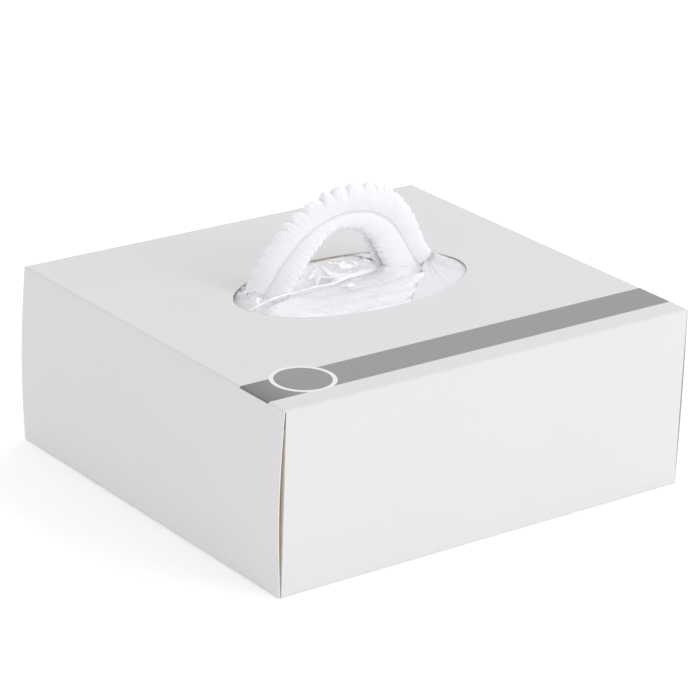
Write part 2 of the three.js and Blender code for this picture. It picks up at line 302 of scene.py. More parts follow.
def sheet_surface(strip, count, outward, fine):
    """The sheet's skin on one side of its line, as points for each station and place."""
    section, reach = section_at(count)
    across, out, gather, level = section.T
    gather = np.clip(gather, 0, 1)
    q = np.abs(across)[None]
    far = (across > 0)[None]
    upper = (level > 0)[None]
    along = strip.along[:, None]
    x_here = strip.centre[:, 0][:, None]
    edge_rows = np.array(FAR_EDGE)
    far_depth = np.interp(x_here, edge_rows[:, 0], edge_rows[:, 2])
    far_skew = np.interp(x_here, edge_rows[:, 0], edge_rows[:, 3])
    x_line = strip.centre[:, 0]
    pitch_rows = (strip.along, np.interp(x_line, edge_rows[:, 0], edge_rows[:, 1]))

    wander = 1.1 * noise(along / 7, across[None] * 2.2 + 9, 11)
    wander = wander + 0.4 * noise(along / 2.6, across[None] * 5 + 3, 12)
    slant = 1.8 * q * noise(along / 24, across[None] * 0.4 + 2, 13)
    moved = along + wander * np.clip(q * 1.6, 0.15, 1) + slant

    far_up = crest(moved, random_phase(strip.along, pitch_rows, 21), 31, far_skew, 0.2, 0.7)
    far_low = crest(moved, random_phase(strip.along, 5.2, 22), 32, 0.85)
    near_up = crest(moved, random_phase(strip.along, NEAR_PITCH, 23), 33, 0.85, 0.3, 0.8)
    near_low = crest(moved, random_phase(strip.along, 4.6, 24), 34, 0.9)
    bundle = np.where(far, np.where(upper, far_up, far_low), np.where(upper, near_up, near_low))
    near_depth = np.interp(x_here, *np.array(NEAR_DEPTH).T)
    depth = np.where(upper, np.where(far, far_depth, near_depth), 1.1)

    middle = np.where(
        far,
        crest(moved * 1.02 + 1.3, random_phase(strip.along, MIDDLE_PITCH, 41), 51, 0.9, 0.6),
        crest(moved * 0.99 + 0.7, random_phase(strip.along, MIDDLE_PITCH * 0.9, 42), 52, 0.9, 0.6),
    )
    ripple = along + 0.35 * noise(along / 1.7, across[None] * 6, 14) + wander * 0.55 * np.clip(q * 2, 0, 1)
    small = np.where(
        far,
        crest(ripple, random_phase(strip.along, FINE_PITCH, 43), 53, 1.0, 0.7),
        crest(ripple, random_phase(strip.along, FINE_PITCH, 44), 54, 1.0, 0.7),
    )

    puff = 0.5 * noise(along / 14, across[None] * 1.3 + 5, 15)
    puff = puff + 0.25 * noise(along / 5, across[None] * 3, 16)
    relief = BUNDLE_RELIEF * (bundle - 0.7) * q**2.5 + puff * np.sqrt(q)
    if fine:
        relief = relief + MIDDLE_RELIEF * (middle - 0.6) * (0.25 + 0.75 * q)
        relief = relief + FINE_RELIEF * (small - 0.6) * (1.0 - 0.35 * q)
    relief = relief * gather[None] * np.interp(x_here, *np.array(RELIEF_SHARE).T)
    widen = depth * (bundle - 0.62) * q**2.2 * gather[None]

    half_width = np.where(far, strip.far[:, None], strip.near[:, None])
    places, near_lower, far_lower = np.array(LOWER_SHARE).T
    lower = np.where(far, np.interp(x_here, places, far_lower), np.interp(x_here, places, near_lower))
    half_width = half_width * (1 + (lower - 1) * np.clip((1 - level) / 2, 0, 1)[None])
    u = across[None] * half_width + np.sign(across)[None] * widen
    v = np.broadcast_to(out[None], u.shape)
    du, dv = np.gradient(u, axis=1), np.gradient(v, axis=1)
    size = np.hypot(du, dv)
    offset = outward + relief
    normal_u, normal_v = dv / size, -du / size
    u = u + normal_u * offset
    v = v + normal_v * offset
    ahead = -PLEAT_LEAN * (bundle - 0.5) * q**2 * gather[None] * np.where(upper, 1, 0.3)
    shear = np.array(PLEAT_SHEAR)
    ahead = ahead + np.interp(x_here, shear[:, 0], shear[:, 1]) * u
    return strip.place(u, v, ahead), reach


def cap_crown(material):
    strip = Strip(stations())
    outer, reach = sheet_surface(strip, OUTER_POINTS, SHEET_WALL / 2, True)
    inner, inner_reach = sheet_surface(strip, INNER_POINTS, -SHEET_WALL / 2 - 0.3, False)
    rings = np.concatenate([outer, inner[:, ::-1]], axis=1)
    count, across = rings.shape[:2]
    faces = ring_faces(count, across).tolist()
    faces.append(list(range(across))[::-1])
    faces.append([(count - 1) * across + k for k in range(across)])
    piece = new_piece("cap_crown_sheet", rings.reshape(-1, 3), faces, [material])
    along = np.repeat(strip.along, across)
    reach_row = np.concatenate([reach, inner_reach[::-1]])
    add_values(piece, "along_mm", along)
    add_values(piece, "across_mm", np.tile(reach_row, count))
    return piece, outer.reshape(-1, 3)


# Elastic: a thin band in the mouth of the fold, puckered, with a row of stitches on it

ELASTIC_HALF_WIDTH = 0.45
ELASTIC_TOP = 3.0
ELASTIC_BOTTOM = 1.2
STITCH_PITCH = 1.3
STITCH_LENGTH = 0.95
STITCH_RADIUS = 0.18
STITCH_SIDES = 6


def cap_elastic(material):
    along = np.arange(2.0, STRIP_LENGTH - 2.0, 0.3)
    strip = Strip(along)
    pucker = 0.1 * np.abs(np.sin(math.pi * along / STITCH_PITCH))[:, None]
    angles = np.linspace(0, 2 * math.pi, 16, endpoint=False)
    middle = (ELASTIC_TOP + ELASTIC_BOTTOM) / 2
    u = ELASTIC_HALF_WIDTH * np.sign(np.cos(angles)) * np.abs(np.cos(angles)) ** 0.6
    v = (ELASTIC_TOP - ELASTIC_BOTTOM) / 2 * np.sign(np.sin(angles)) * np.abs(np.sin(angles)) ** 0.6
    u = np.broadcast_to(u[None], (len(along), len(angles)))
    v = middle + v[None] * (1 + pucker)
    points = [strip.place(u, v).reshape(-1, 3)]
    faces = ring_faces(len(along), len(angles)).tolist()
    faces.append(list(range(len(angles)))[::-1])
    faces.append([(len(along) - 1) * len(angles) + k for k in range(len(angles))])

    start = len(points[0])
    parts = np.array([0.0, 0.12, 0.5, 0.88, 1.0])
    radii = STITCH_RADIUS * np.array([0.25, 0.85, 1.0, 0.85, 0.25])
    lift = np.array([-0.12, 0.0, 0.08, 0.0, -0.12])
    turn = np.linspace(0, 2 * math.pi, STITCH_SIDES, endpoint=False)
    ring = ring_faces(len(parts), STITCH_SIDES)
    first_end = list(range(STITCH_SIDES))[::-1]
    last_end = [(len(parts) - 1) * STITCH_SIDES + k for k in range(STITCH_SIDES)]
    for at in np.arange(6.0, STRIP_LENGTH - 6.0, STITCH_PITCH):
        here = Strip(at + (parts - 0.5) * STITCH_LENGTH)
        su = radii[:, None] * np.cos(turn)[None]
        sv = ELASTIC_TOP + 0.06 + lift[:, None] + radii[:, None] * np.sin(turn)[None]
        points.append(here.place(su, sv).reshape(-1, 3))
        faces += (ring + start).tolist()
        faces += [[k + start for k in end] for end in (first_end, last_end)]
        start += len(parts) * STITCH_SIDES
    return new_piece("cap_elastic_seam", np.concatenate(points), faces, [material])


# Heights of the cap's underside and top over each square millimetre

HEIGHT_CELL = 1.0


class StripHeights:
    """The lowest and highest point of the cap over any place, within reach of it."""

    def __init__(self, points):
        self.origin = np.array([-120.0, -20.0])
        self.shape = (240, 70)
        cells = np.floor((points[:, :2] - self.origin) / HEIGHT_CELL).astype(int)
        inside = ((cells >= 0) & (cells < self.shape)).all(axis=1)
        cells, z = cells[inside], points[inside, 2]
        self.low = np.full(self.shape, np.inf)
        self.high = np.full(self.shape, -np.inf)
        np.minimum.at(self.low, (cells[:, 0], cells[:, 1]), z)
        np.maximum.at(self.high, (cells[:, 0], cells[:, 1]), z)

    def widened(self, reach):
        low, high = self.low.copy(), self.high.copy()
        for i in range(-reach, reach + 1):
            for j in range(-reach, reach + 1):
                low = np.minimum(low, np.roll(self.low, (i, j), (0, 1)))
                high = np.maximum(high, np.roll(self.high, (i, j), (0, 1)))
        return low, high

    def sample(self, field, x, y, empty):
        i = np.floor((x - self.origin[0]) / HEIGHT_CELL).astype(int)
        j = np.floor((y - self.origin[1]) / HEIGHT_CELL).astype(int)
        inside = (i >= 0) & (j >= 0) & (i < self.shape[0]) & (j < self.shape[1])
        values = np.full(x.shape, empty, float)
        values[inside] = field[i[inside], j[inside]]
        return values


def softened(field, times):
    """A height field averaged with its neighbours, times over."""
    for _ in range(times):
        for axis in (0, 1):
            places = np.arange(field.shape[axis])
            low = field.take(np.maximum(places - 1, 0), axis)
            high = field.take(np.minimum(places + 1, len(places) - 1), axis)
            field = (low + 2 * field + high) / 4
    return field


# Contents: the soft folds packed in the inner bag, the cloth drawn up with the cap's feet, and film

CONTENTS_LEVEL = 96.3
FRONT_RISE = 3.4
BACK_RISE = 3.0
LEFT_DROP = 1.6
# The slit's front lip: behind it the contents lie lower
SLIT_LINE = [
    (-64, -5),
    (-57, -0.5),
    (-50.5, 1.9),
    (-43, 2.8),
    (-35, 4.2),
    (-26, 6.8),
    (-17.5, 9.6),
    (-6.8, 9.6),
    (6, 13.4),
    (18.8, 14.8),
    (31.6, 14.8),
    (36, 10),
    (47, 2.5),
    (60, 1),
]
# How much higher the slit's lip stands in front of the cap's left foot
LIP_RISE = [(-66, 0.0), (-59, 1.6), (-52, 2.7), (-36, 2.7), (-26, 1.2), (-18, 0.0)]
LIP_REACH = 7.0
UNDER_BOARD = 99.25
RIM_CONTACT_FROM = 0.88
RUFFLE_PITCH = 12.0
RUFFLE_DEPTH = 2.0


def in_opening(x, y):
    """0 at the opening's middle and 1 at its edge."""
    return np.hypot((x - OPENING_CENTRE[0]) / OPENING_HALF[0], (y - OPENING_CENTRE[1]) / OPENING_HALF[1])


def behind_slit(x, y):
    """How far each place lies behind the slit's front lip, along Y."""
    line = np.array(SLIT_LINE, float)
    return y - np.interp(x, line[:, 0], line[:, 1])


def contents_level(x, y):
    """The smooth level that the crests of the folds reach."""
    level = CONTENTS_LEVEL + FRONT_RISE * smooth_step((1.0 - behind_slit(x, y)) / 3.5)
    level = level + BACK_RISE * smooth_step((y - 26) / 12)
    line = np.array(LIP_RISE)
    behind = behind_slit(x, y)
    lip = np.interp(x, line[:, 0], line[:, 1]) * smooth_step((1.5 - behind) / 2)
    level = level + lip * np.exp(-((np.minimum(behind, 0) / LIP_REACH) ** 2))
    return level - LEFT_DROP * smooth_step((-52 - x) / 14)


FOOT_HIGH = 101.5
FOOT_RISE = {-1: 0.8, 1: 3.0}
FOOT_REACH = 5.5
# Where the contents bulge behind the right foot: place, height and reach
FOOT_MOUND = ((31, 16), 3.2, 5.0)


def foot_distance(x, y, heights):
    """How far each place lies from where the cap's feet pass up through the contents."""
    crossing = (heights.low < FOOT_HIGH) & (heights.high > FOOT_HIGH)
    places = np.argwhere(crossing) * HEIGHT_CELL + heights.origin + HEIGHT_CELL / 2
    nearest = np.full(x.shape, np.inf)
    for px, py in places:
        nearest = np.minimum(nearest, (x - px) ** 2 + (y - py) ** 2)
    return np.sqrt(nearest)


def foot_rise(x, y, distance):
    """How far the contents are drawn up with the cap's feet."""
    (mound_x, mound_y), mound_high, mound_reach = FOOT_MOUND
    mound = mound_high * np.exp(-((x - mound_x) ** 2 + (y - mound_y) ** 2) / mound_reach**2)
    return np.where(x < 0, FOOT_RISE[-1], FOOT_RISE[1]) * np.exp(-distance / FOOT_REACH) + mound


def folds_height(x, y, rise, distance):
    """The contents' height: gathered ruffles that run along X, smoother close to the cap's feet."""
    level = contents_level(x, y) + rise
    wander = 2.6 * noise(x / 26, y / 40, 61) + 0.8 * noise(x / 7, y / 9, 62)
    row = (y - SEAM_Y + wander) / RUFFLE_PITCH
    part = row - np.floor(row)
    lobes = np.abs(np.sin(math.pi * part**0.85)) ** 0.6
    slant = 0.45 * (y - SEAM_Y) * np.where(y < SEAM_Y, 1, -0.6)
    moved = x + slant + 1.2 * noise(x / 6, y / 5, 63)
    line = np.arange(-200.0, 201.0)
    bundles = crest(moved + 5.1 * np.floor(row), random_phase(line, 4.4, 64), 65, 0.8)
    middle = crest(moved * 1.01 + 2.3 * np.floor(row), random_phase(line, 2.3, 66), 67, 0.9, 0.6)
    ripple = x + slant + 0.4 * noise(x / 2, y / 3, 68)
    small = crest(ripple, random_phase(line, FINE_PITCH, 69), 70, 1.0, 0.7)
    drop = RUFFLE_DEPTH * (1 - lobes) + 1.3 * (1 - bundles) * (0.4 + 0.6 * (1 - lobes))
    drop = drop + 0.45 * (1 - middle) + 0.25 * (1 - small)
    by_rim = smooth_step((in_opening(x, y) - RIM_CONTACT_FROM) / (1 - RIM_CONTACT_FROM))
    by_rim = by_rim * smooth_step((x + 64) / 14) * (1 - 0.1 * smooth_step(y / 30))
    level = level + (UNDER_BOARD - 0.1 - level) * by_rim
    drop = drop * (1 - 0.75 * by_rim) * (1 - 0.75 * np.exp(-distance / 4))
    ragged = np.clip(noise(x / 3.4, y / 5, 57) + 0.25, 0, 1)
    ragged = ragged + 0.4 * np.clip(noise(x / 1.4, y / 3, 58), 0, 1)
    ragged = ragged * smooth_step((y - 24) / 10) * (1 - 0.5 * smooth_step((x - 20) / 10))
    return level - drop - 1.2 * ragged * (1 - 0.4 * by_rim)


def graded(edges, steps):
    """Grid lines between the edges, with a step for each gap."""
    parts = []
    for a, b, step in zip(edges, edges[1:], steps):
        parts.append(np.linspace(a, b, 1 + max(1, round((b - a) / step)))[:-1])
    return np.concatenate(parts + [[edges[-1]]])


def grid_border(count_i, count_j):
    """The border of a grid's points, once round."""
    low = [i * count_j for i in range(count_i)]
    right = [(count_i - 1) * count_j + j for j in range(1, count_j)]
    high = [i * count_j + count_j - 1 for i in range(count_i - 2, -1, -1)]
    left = list(range(count_j - 2, 0, -1))
    return low + right + high + left


def packed_fill(material, heights):
    low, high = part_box("packed_fill")
    half_x, half_y, bottom = high.x / MM, high.y / MM, low.z / MM
    xs = graded([-half_x, -110, -74, 80, 110, half_x], [6, 2, 0.55, 2, 6])
    ys = graded([-half_y, -44, -36, 48, 54, half_y], [6, 2, 0.55, 2, 6])
    x, y = np.meshgrid(xs, ys, indexing="ij")
    pillow = 5 * (np.abs(x / half_x) ** 8 + np.abs(y / half_y) ** 8)
    distance = foot_distance(x, y, heights)
    z = folds_height(x, y, foot_rise(x, y, distance), distance) - pillow
    for sheet in DRAWN_SHEETS:
        inside, level = sheet.covers(x, y), sheet.level(x, y)
        z = np.where(inside > -1.5, np.minimum(z, level + 0.1), z)
        below = level - 0.25 - 0.95 * smooth_step((inside - 0.2) / 4)
        z = np.where(inside > 0.2, np.minimum(z, below), z)
    z = np.minimum(z, UNDER_BOARD + 6 * smooth_step((1.0 - in_opening(x, y)) * 4))
    strip_low, _ = heights.widened(1)
    below_strip = np.minimum(z, heights.sample(strip_low, x, y, np.inf) - 0.35)
    z = np.where(in_opening(x, y) < 1.05, z, below_strip)
    count_x, count_y = x.shape
    top = np.stack([x, y, z], -1).reshape(-1, 3)
    faces = ring_faces(count_x, count_y, closed=False)[:, ::-1].tolist()
    border = grid_border(count_x, count_y)
    start = len(top)
    foot = top[border].copy()
    foot[:, 2] = bottom
    size = len(border)
    for k in range(size):
        n = (k + 1) % size
        faces.append([border[n], border[k], start + k, start + n])
    faces.append([start + k for k in range(size)][::-1])
    return new_piece("packed_soft_fill", np.concatenate([top, foot]), faces, [material])


class DrawnSheet:
    """Cloth from under the board's edge that is drawn up round one foot of the cap. Its free edge
    runs along edge, from the foot to the opening's edge, and behind the foot along back."""

    def __init__(self, name, foot, side, peak, most, rim, edge, back, outer, seed):
        self.name = name
        self.foot = foot
        self.side = side
        self.peak = peak
        self.most = most
        self.rim = rim
        self.edge = edge
        self.back = back
        self.outer = outer
        self.seed = seed

    def covers(self, x, y):
        """How far inside the sheet a place lies."""
        wavy = 0.5 * noise(x / 3, y / 3, self.seed) + 0.25 * noise(x / 1.1, y / 1.1, self.seed + 1)
        limits = []
        for (x0, y0), (x1, y1) in (self.edge, self.back):
            length = math.hypot(x1 - x0, y1 - y0)
            turn = 1 if (y1 < y0) == (self.side > 0) else -1
            across = ((y - y0) * (x1 - x0) - (x - x0) * (y1 - y0)) / length
            limits.append(across * turn + wavy)
        front = y < self.foot[1]
        inside = np.where(front, limits[0], limits[1])
        return np.minimum(inside, self.outer - np.abs(x))

    def level(self, x, y):
        dx, dy = x - self.foot[0], y - self.foot[1]
        radius = np.hypot(dx, dy)
        rise = self.peak * np.exp(-radius / 6.5)
        level = self.rim(x, y) + rise
        board = UNDER_BOARD + 0.5 + self.most * smooth_step((1.0 - in_opening(x, y)) * 9)
        return np.minimum(level, board)

    def height(self, x, y):
        dx, dy = x - self.foot[0], y - self.foot[1]
        radius = np.hypot(dx, dy)
        angle = np.degrees(np.arctan2(dy, dx * self.side)) + 2.2 * noise(dx / 8, dy / 8, self.seed + 2)
        degrees = np.arange(-200.0, 201.0)
        rays = crest(angle, random_phase(degrees, 9.0, self.seed + 3), self.seed + 4, 0.9)
        fine = crest(angle, random_phase(degrees, 3.0, self.seed + 5), self.seed + 6, 1.0, 0.6)
        close = np.exp(-((radius / 20) ** 2))
        height = self.level(x, y) - (0.12 + 0.8 * close) * (1 - rays)
        height = height - (0.05 + 0.25 * close) * (1 - fine)
        return height - 0.2 * (1 + noise(x / 11, y / 11, self.seed + 7))


def right_rim(x, y):
    lifted = 0.9 * (0.5 + 0.5 * noise(x / 3, y / 6, 59)) * smooth_step((y - 10) / 10)
    return 99.0 - 0.2 * smooth_step((x - 62) / 14) + lifted


def left_rim(x, y):
    front = smooth_step((1.0 - behind_slit(x, y)) / 6)
    flat = 97.4 - 2.4 * smooth_step((-56 - x) / 12)
    over_lip = np.maximum(contents_level(x, y) + 0.4 - flat, 0)
    return flat + over_lip * front * smooth_step((x + 72) / 16)


DRAWN_SHEETS = [
    DrawnSheet(
        name="right",
        foot=(59.5, 13.0),
        side=1,
        peak=6.2,
        most=5.0,
        rim=right_rim,
        edge=((51.3, 7.1), (15.1, -29.7)),
        back=((44.0, 20.0), (30.0, 44.0)),
        outer=96.0,
        seed=71,
    ),
    DrawnSheet(
        name="left",
        foot=(-54.0, 13.0),
        side=-1,
        peak=4.8,
        most=3.5,
        rim=left_rim,
        edge=((-47.0, 4.0), (-34.0, -26.0)),
        back=((-49.0, 22.0), (-44.0, 40.0)),
        outer=84.0,
        seed=171,
    ),
]
SHEET_THICKNESS = 0.4
SHEET_STEP = 0.55


def drawn_sheet(sheet, material, heights):
    xs = np.arange(12.0, 96.0, SHEET_STEP) if sheet.side > 0 else np.arange(-84.0, -30.0, SHEET_STEP)
    ys = np.arange(-44.0, 50.0, SHEET_STEP)
    x, y = np.meshgrid(xs, ys, indexing="ij")
    z = sheet.height(x, y)
    near_low, near_high = heights.widened(1)
    low = heights.sample(near_low, x, y, np.inf)
    high = heights.sample(near_high, x, y, -np.inf)
    through = (low < z + 0.3) & (high > z + 3.0)
    z = np.where((low < z) & ~through, np.maximum(z, high + 0.3), z)
    kept = (sheet.covers(x, y) > 0) & (in_opening(x, y) < 1.35)
    quads = ring_faces(*x.shape, closed=False)[:, [0, 3, 2, 1]]
    quads = quads[kept.ravel()[quads].all(axis=1)]
    return thin_wall(f"packed_cloth_{sheet.name}", np.stack([x, y, z], -1).reshape(-1, 3), quads, material)


def thin_wall(name, points, quads, material):
    """A closed thin sheet below the quads, whose upper side they are."""
    used, quads = np.unique(quads, return_inverse=True)
    quads = quads.reshape(-1, 4)
    points = points[used]
    below = points - (0, 0, SHEET_THICKNESS)
    size = len(points)
    edges = np.concatenate([quads[:, [k, (k + 1) % 4]] for k in range(4)])
    known = {tuple(edge) for edge in edges.tolist()}
    walls = [[b, a, a + size, b + size] for a, b in known if (b, a) not in known]
    faces = quads.tolist() + (quads[:, ::-1] + size).tolist() + walls
    return new_piece(name, np.concatenate([points, below]), faces, [material])


FILM_LIFT = 0.8
FILM_CLIMB = 2.5
FILM_REACH = (96.0, 66.0)
FILM_CREASES = [
    # points, height, width of the ramp behind the crease, width of the ramp in front of it
    ([(6.4, 35), (-1, 29), (-7.5, 21)], 2.0, 1.2, 5.5),
    ([(7, 33), (16, 27), (26, 22)], 1.5, 1.2, 3.6),
    ([(10, 27), (22, 24), (33, 20)], 1.1, 1.0, 2.2),
    ([(12, 39.5), (19.5, 36)], 1.0, 1.0, 2.4),
    ([(22, 40), (30, 30), (36, 22)], 1.0, 2.0, 1.4),
    ([(-9.5, 0.2), (-1, 1.9), (3, 5)], 0.8, 1.0, 2.2),
    ([(5, 7), (9, 5), (16, 7)], 0.8, 1.0, 2.0),
    ([(-30, 22), (-16, 28), (-4, 33)], 0.9, 2.2, 1.3),
    ([(-22, -12), (-2, -8), (14, -12)], 0.4, 3.0, 1.3),
    ([(20, -4), (34, -2), (46, -6)], 0.5, 2.0, 1.1),
]

# Folds of the film, drawn as white ribbons on it: painted highlights of their glints, as points with their
# widths
FILM_GLINT_RIBBONS = [
    [(-1.5, 18.1, 0.3), (5, 19.6, 1.7), (13, 20.8, 2.1), (20.2, 21.4, 1.4), (28.9, 22, 0.3)],
    [(1.9, 35.9, 0.3), (-0.8, 31.5, 1.7), (-4, 27, 3.4), (-8, 21.8, 2.3), (-11.4, 17.2, 0.3)],
    [(2.6, 35.5, 0.2), (3.4, 30.5, 1.3), (5.5, 25.5, 3.6), (8, 23.6, 3.4), (12, 23.6, 1.8), (18, 24.2, 0.4)],
    [(-6, 25, 0.2), (-0.5, 23.6, 1.4), (4.5, 22.6, 1.1), (8.5, 22, 0.2)],
    [(13, 38, 0.3), (16.5, 37, 1.4), (20, 35.7, 0.3)],
    [(-5.6, 5.4, 0.3), (-4.2, 2.6, 2.2), (-1.6, 1.2, 2.6), (1.5, 0.6, 0.4)],
    [(5.4, 9, 0.2), (7.2, 6.8, 1.8), (9.4, 5, 0.3)],
    [(-31.9, 26.3, 0.2), (-29, 28, 0.5), (-26, 29.2, 0.5), (-24.2, 28.2, 0.2)],
    [(-20, 24, 0.2), (-15, 27.4, 0.4), (-10, 30, 0.2)],
    [(35, 15.2, 0.2), (36.6, 11.6, 0.5), (38, 8.6, 0.4), (41.5, 5.4, 0.6), (45, 3.8, 0.3), (48.2, 3.0, 0.5)],
    [(-65.5, -2.6, 0.2), (-61, -1.9, 0.5), (-56.5, -1.6, 0.2)],
    [(-62, -6.6, 0.2), (-58, -5.2, 0.4), (-54, -4.6, 0.2)],
]
# A glint ribbon's section: places across it and heights, as parts of its width
GLINT_RIBBON_PROFILE = [(-0.5, 0.0), (-0.25, 0.2), (0.05, 0.42), (0.3, 0.4), (0.5, 0.1)]
GLINT_RIBBON_MOST = 2.6
GLINT_RIBBON_LIFT = 0.15

# The slit's lip, where the film's cut edge stands up, drawn as a white ribbon: a painted highlight along the
# edge. Places with the edge's width and height
SLIT_EDGE = [
    (-67.8, 0.0, 0.3, 100.6),
    (-64.1, 0.6, 0.5, 101.0),
    (-59.0, 1.6, 0.7, 101.6),
    (-55.0, 1.9, 0.9, 102.3),
    (-50.4, 2.4, 1.3, 102.8),
    (-43.0, 3.2, 1.3, 103.0),
    (-35.2, 4.7, 1.2, 102.5),
    (-27.0, 6.9, 1.1, 101.7),
    (-19.4, 8.9, 1.3, 100.9),
    (-13.0, 9.0, 1.4, 100.6),
    (-8.0, 8.9, 1.8, 100.5),
    (-1.0, 10.8, 2.0, 100.5),
    (4.7, 12.8, 3.0, 100.5),
    (11.4, 13.0, 3.0, 100.5),
    (17.5, 14.3, 3.2, 100.5),
    (25.6, 14.6, 2.4, 100.5),
    (28.9, 12.2, 0.4, 101.4),
]
GLINT_RIBBON_STEP = 0.6


def crease_height(x, y, points, height, back, front):
    """A sharp ridge along a line of points, with a straight ramp behind it, at +Y, and in front."""
    best = np.full(x.shape, np.inf)
    signed = np.zeros(x.shape)
    fade = np.zeros(x.shape)
    total = len(points) - 1
    for k, ((ax, ay), (bx, by)) in enumerate(zip(points, points[1:])):
        dx, dy = bx - ax, by - ay
        size = math.hypot(dx, dy)
        t = np.clip(((x - ax) * dx + (y - ay) * dy) / size**2, 0, 1)
        distance = np.hypot(x - ax - t * dx, y - ay - t * dy)
        side = (dx * (y - ay) - dy * (x - ax)) * (1 if dx >= 0 else -1)
        closer = distance < best
        best = np.where(closer, distance, best)
        signed = np.where(closer, side, signed)
        fade = np.where(closer, (k + t) / total, fade)
    width = np.where(signed > 0, back, front)
    ends = np.clip(np.minimum(fade, 1 - fade) * 4, 0, 1)
    return height * np.clip(1 - best / width, 0, 1) * (0.2 + 0.8 * ends)


def inner_film(material, heights):
    xs = graded([-FILM_REACH[0], -74, 80, FILM_REACH[0]], [2, 0.55, 2])
    ys = graded([-FILM_REACH[1], -36, 48, FILM_REACH[1]], [2, 0.55, 2])
    x, y = np.meshgrid(xs, ys, indexing="ij")
    distance = foot_distance(x, y, heights)
    level = contents_level(x, y) + foot_rise(x, y, distance)
    for sheet in DRAWN_SHEETS:
        inside = smooth_step((sheet.covers(x, y) + 3) / 3)
        level = np.maximum(level, level + (sheet.level(x, y) - level) * inside)
    level = level + FILM_LIFT
    crossing_low, crossing_high = heights.widened(1)
    low = heights.sample(crossing_low, x, y, np.inf)
    high = heights.sample(crossing_high, x, y, -np.inf)
    level = softened(level, 6)
    z = level + 0.5 * noise(x / 13, y / 10, 81) + 0.2 * noise(x / 5, y / 4, 82)
    for points, height, back, front in FILM_CREASES:
        z = z + crease_height(x, y, points, height, back, front)
    angle = np.degrees(np.arctan2(y - SEAM_Y, np.where(x < 0, x + 53, x - 50)))
    tucks = crest(angle, random_phase(np.arange(-200.0, 201.0), 16.0, 83), 84, 0.9)
    z = z + 0.2 * np.exp(-distance / 1.5) + 0.8 * (tucks - 0.5) * np.exp(-distance / 7)
    over = np.isfinite(low) & (high <= level + FILM_CLIMB) & (low < level)
    raised = softened(np.where(over, np.maximum(z, high + 0.6), z), 4)
    z = np.where(distance < 12, raised, z)
    z = np.minimum(z, softened(np.where(low > level + 1.2, low - 0.5, 200.0), 2))
    z = np.minimum(z, UNDER_BOARD + 0.25 + 6 * smooth_step((1.0 - in_opening(x, y)) * 4))
    quads = ring_faces(*x.shape, closed=False)[:, [0, 3, 2, 1]]
    blocked = (distance < 1.0).ravel()
    blocked = blocked | ((in_opening(x, y) > 0.9) & (y < -8) & (x > -44)).ravel()
    blocked = blocked | (DRAWN_SHEETS[0].covers(x, y) > 1).ravel()
    quads = quads[~blocked[quads].any(axis=1)]
    used, quads = np.unique(quads, return_inverse=True)
    points = np.stack([x, y, z], -1).reshape(-1, 3)[used]
    piece = new_piece("inner_bag_film_sheet", points, quads.reshape(-1, 4).tolist(), [material])
    return piece, (xs, ys, z)


def film_height(grid, x, y):
    """The film's height at each place, between the grid's points."""
    xs, ys, z = grid
    i = np.clip(np.searchsorted(xs, x) - 1, 0, len(xs) - 2)
    j = np.clip(np.searchsorted(ys, y) - 1, 0, len(ys) - 2)
    u = (x - xs[i]) / (xs[i + 1] - xs[i])
    v = (y - ys[j]) / (ys[j + 1] - ys[j])
    low = z[i, j] * (1 - u) + z[i + 1, j] * u
    high = z[i, j + 1] * (1 - u) + z[i + 1, j + 1] * u
    return low * (1 - v) + high * v


def film_glint_ribbons(material, grid):
    """Narrow white ridges that lie on the film, the first along the slit's lip: painted highlights of the
    film's glints.
    """
    points, faces = [], []
    start = 0
    for seed, rows in enumerate([SLIT_EDGE] + FILM_GLINT_RIBBONS):
        rows = np.array(rows, float)
        gaps = np.linalg.norm(np.diff(rows[:, :2], axis=0), axis=1)
        count = max(6, round(gaps.sum() / GLINT_RIBBON_STEP))
        line = smooth_curve(rows, np.sqrt(gaps), np.linspace(0, len(rows) - 1, count))
        place, width = line[:, :2], line[:, 2:3]
        ahead = np.gradient(place, axis=0)
        ahead /= np.linalg.norm(ahead, axis=1)[:, None]
        left = np.stack([-ahead[:, 1], ahead[:, 0]], -1)
        ragged = 1 + 0.3 * noise(np.arange(count)[:, None] / 3.0, seed * 7.0, 85)
        width = np.maximum(width * ragged, 0.12)
        rings = np.zeros((count, len(GLINT_RIBBON_PROFILE), 3))
        for k, (share, lift) in enumerate(GLINT_RIBBON_PROFILE):
            at = place + left * width * share
            z = line[:, 3] if seed == 0 else film_height(grid, at[:, 0], at[:, 1]) + GLINT_RIBBON_LIFT
            rings[:, k] = np.column_stack([at, z + lift * np.minimum(width[:, 0], GLINT_RIBBON_MOST)])
        points.append(rings.reshape(-1, 3))
        faces += (ring_faces(count, len(GLINT_RIBBON_PROFILE), closed=False)[:, ::-1] + start).tolist()
        start += count * len(GLINT_RIBBON_PROFILE)
    return new_piece("inner_bag_film_glint_ribbons", np.concatenate(points), faces, [material])


# Carton board, with rounded folds


def offset_skins(surface, thickness):
    """The inner skin of a board whose outer skin is a grid of points, thickness in from it."""
    along_i = np.gradient(surface, axis=0)
    along_j = np.gradient(surface, axis=1)
    normal = np.cross(along_i, along_j)
    normal /= np.linalg.norm(normal, axis=2)[..., None]
    return surface - normal * thickness


def board_slab(grid, thickness):
    """A closed board from a grid of outer points, whose outside is where i cross j points. Gives
    points, faces and for each face 0 outside, 1 cut edge, 2 inside."""
    inner = offset_skins(grid, thickness)
    count_i, count_j = grid.shape[:2]
    size = count_i * count_j
    points = np.concatenate([grid.reshape(-1, 3), inner.reshape(-1, 3)])
    outside = ring_faces(count_i, count_j, closed=False)[:, [0, 3, 2, 1]]
    inside = outside[:, ::-1] + size
    border = grid_border(count_i, count_j)
    walls = []
    for k, a in enumerate(border):
        b = border[(k + 1) % len(border)]
        walls.append([a, a + size, b + size, b])
    faces = outside.tolist() + inside.tolist() + walls
    kinds = [0] * len(outside) + [2] * len(inside) + [1] * len(walls)
    return points, faces, kinds


